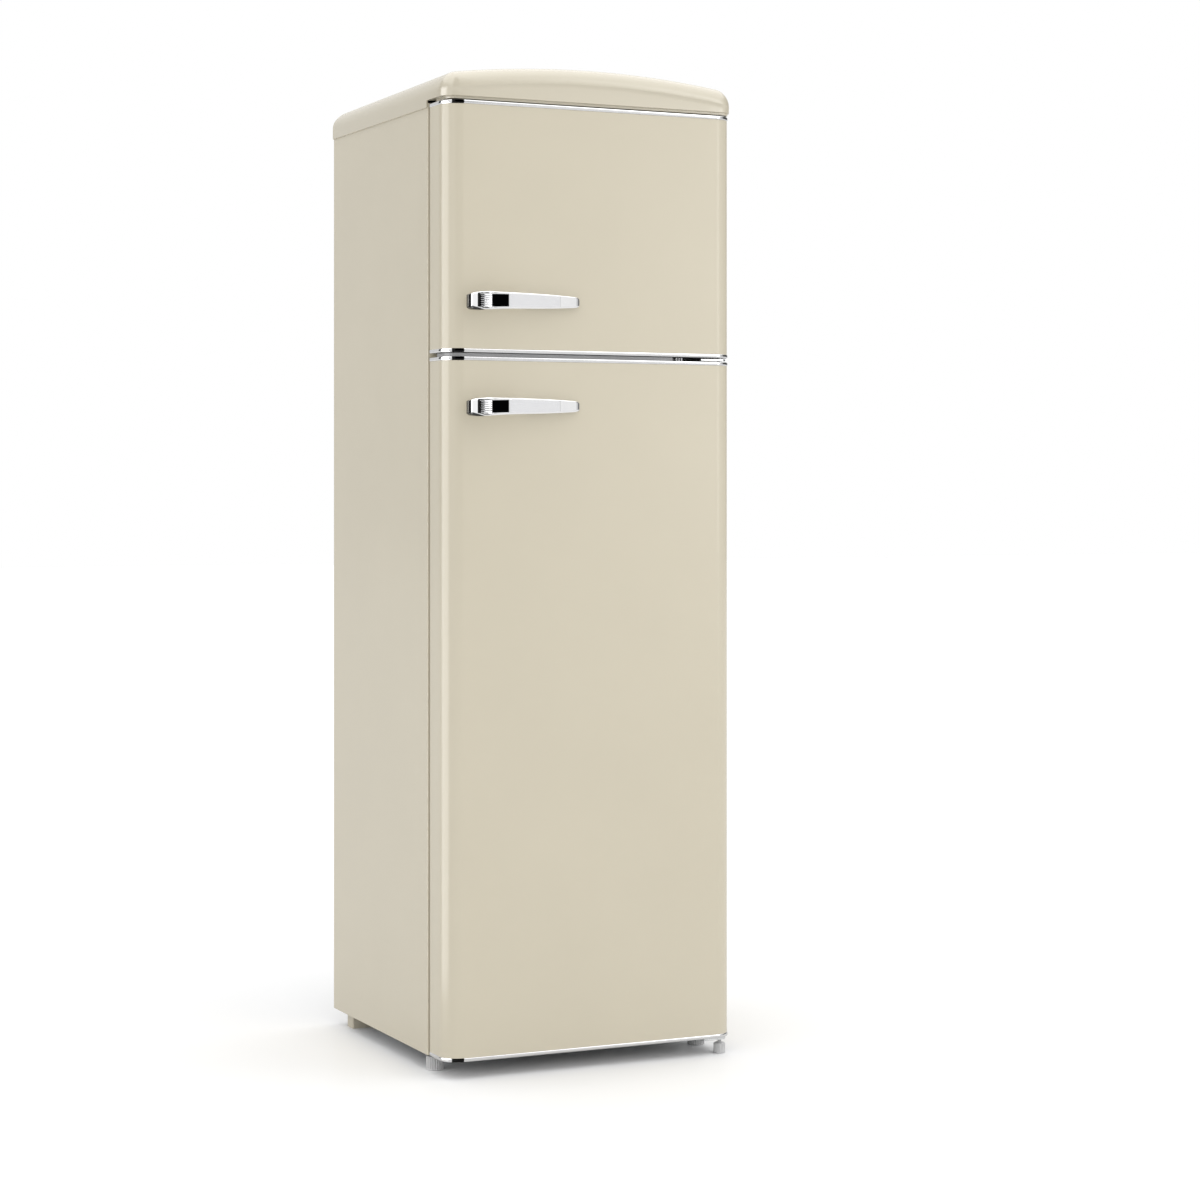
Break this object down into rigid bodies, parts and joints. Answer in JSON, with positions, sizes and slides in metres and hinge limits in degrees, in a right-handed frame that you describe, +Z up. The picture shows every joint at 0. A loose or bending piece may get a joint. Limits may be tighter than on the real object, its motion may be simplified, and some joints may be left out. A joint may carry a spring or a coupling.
{
  "type": "fridge-freezer",
  "caption": "Tall retro fridge-freezer with a domed top, freezer door above a long fridge door, both hinged on the right with chrome trims and lever handles.",
  "frame": {"origin": "on the floor, under the centre of the whole object's box", "axes": "+Z up, the doors face -Y, +X towards the hinge side"},
  "size_m": [0.556, 0.615, 1.7397],
  "materials": {
    "cream_paint": "glossy cream enamel",
    "cream_cover": "glossy cream moulding",
    "beige_plastic": "satin",
    "galvanised_steel": "galvanised",
    "grey_paint": "satin grey",
    "zinc_plate": "bright zinc",
    "white_liner": "white, slightly glossy",
    "foam": "rigid insulating foam",
    "chrome": "bright chrome",
    "black_gloss": "gloss black",
    "gasket_grey": "soft vinyl",
    "black_enamel": "semi-gloss black",
    "compressor_iron": "black enamel",
    "rubber_black": "matt",
    "black_plastic": "fine texture",
    "white_plastic": "satin",
    "copper": "copper",
    "shelf_glass": "clear tempered glass",
    "clear_plastic": "translucent",
    "grey_plastic": "ribbed",
    "screw_steel": "zinc plated",
    "aluminium": "rolled",
    "white_wire": "white coated"
  },
  "bodies": {
    "cabinet": {"side_panel_left": "cream_paint", "side_panel_right": "cream_paint", "top_cover": "cream_cover", "rear_legs": "beige_plastic", "rear_panel": "galvanised_steel", "compartment_panel": "galvanised_steel", "base_pan": "galvanised_steel", "compressor_base": "galvanised_steel", "cabinet_top_panel": "cream_paint", "mullion_rail": "grey_paint", "cabinet_foam": "foam", "fridge_liner": "white_liner", "freezer_liner": "white_liner", "top_hinge_plate": "zinc_plate", "middle_hinge_bracket": "chrome", "bottom_hinge_bracket": "zinc_plate", "hinge_pins": "zinc_plate", "screws": "screw_steel", "condenser": "black_enamel", "compressor": "compressor_iron", "compressor_mounts": "rubber_black", "terminal_cover": "black_plastic", "drip_tray": "black_plastic", "filter_drier": "copper", "refrigerant_pipes": "copper", "drain_tube": "grey_plastic", "evaporator": "aluminium", "glass_shelves": "shelf_glass", "crisper_cover": "shelf_glass", "shelf_trims": "white_plastic", "freezer_shelf": "white_wire", "control_housing": "white_plastic", "lamp_lens": "clear_plastic"},
    "freezer_door": {"freezer_door_skin": "cream_paint", "freezer_door_foam": "foam", "freezer_door_liner": "white_liner", "freezer_door_trims": "chrome", "freezer_door_end_caps": "grey_plastic", "freezer_door_gasket": "gasket_grey", "freezer_door_bushings": "white_plastic", "freezer_handle": "chrome", "freezer_handle_insert": "black_gloss", "freezer_door_balconies": "clear_plastic"},
    "fridge_door": {"fridge_door_skin": "cream_paint", "fridge_door_foam": "foam", "fridge_door_liner": "white_liner", "fridge_door_trims": "chrome", "fridge_door_end_caps": "grey_plastic", "fridge_door_gasket": "gasket_grey", "fridge_door_bushings": "white_plastic", "fridge_handle": "chrome", "fridge_handle_insert": "black_gloss", "fridge_door_balconies": "clear_plastic", "bottle_balcony": "clear_plastic"},
    "crisper_drawer": {"crisper_drawer": "clear_plastic"},
    "thermostat_knob": {"thermostat_knob": "grey_plastic"},
    "door_switch_plunger": {"door_switch_plunger": "white_plastic"},
    "front_foot_left": {"front_foot_left": "grey_plastic"},
    "front_foot_right": {"front_foot_right": "grey_plastic"},
    "hinge_foot": {"hinge_foot": "grey_plastic"}
  },
  "joints": [
    {"name": "freezer_door_hinge", "type": "hinge", "parent": "cabinet", "child": "freezer_door", "pos_m": [0.258, -0.2425, 1.458], "axis": [0, 0, 1], "range_deg": [0, 120]},
    {"name": "fridge_door_hinge", "type": "hinge", "parent": "cabinet", "child": "fridge_door", "pos_m": [0.258, -0.2425, 0.633], "axis": [0, 0, 1], "range_deg": [0, 120]},
    {"name": "crisper_slide", "type": "slide", "parent": "cabinet", "child": "crisper_drawer", "axis": [0, -1, 0], "range_m": [0, 0.074]},
    {"name": "thermostat_turn", "type": "hinge", "parent": "cabinet", "child": "thermostat_knob", "pos_m": [0.19, -0.052, 1.132], "axis": [-1, 0, 0], "range_deg": [0, 270]},
    {"name": "light_switch", "type": "slide", "parent": "cabinet", "child": "door_switch_plunger", "axis": [0, -1, 0], "range_m": [0, 0.006]},
    {"name": "front_foot_left_turn", "type": "hinge", "parent": "cabinet", "child": "front_foot_left", "pos_m": [-0.2545, -0.1575, 0.02], "axis": [0, 0, 1], "continuous": true},
    {"name": "front_foot_right_turn", "type": "hinge", "parent": "cabinet", "child": "front_foot_right", "pos_m": [0.2545, -0.1575, 0.02], "axis": [0, 0, 1], "continuous": true},
    {"name": "hinge_foot_turn", "type": "hinge", "parent": "cabinet", "child": "hinge_foot", "pos_m": [0.258, -0.2425, 0.02], "axis": [0, 0, 1], "continuous": true}
  ],
  "couplings": [
    {"joint": "light_switch", "follows": "fridge_door_hinge", "m_per_rad": 0.0028}
  ]
}
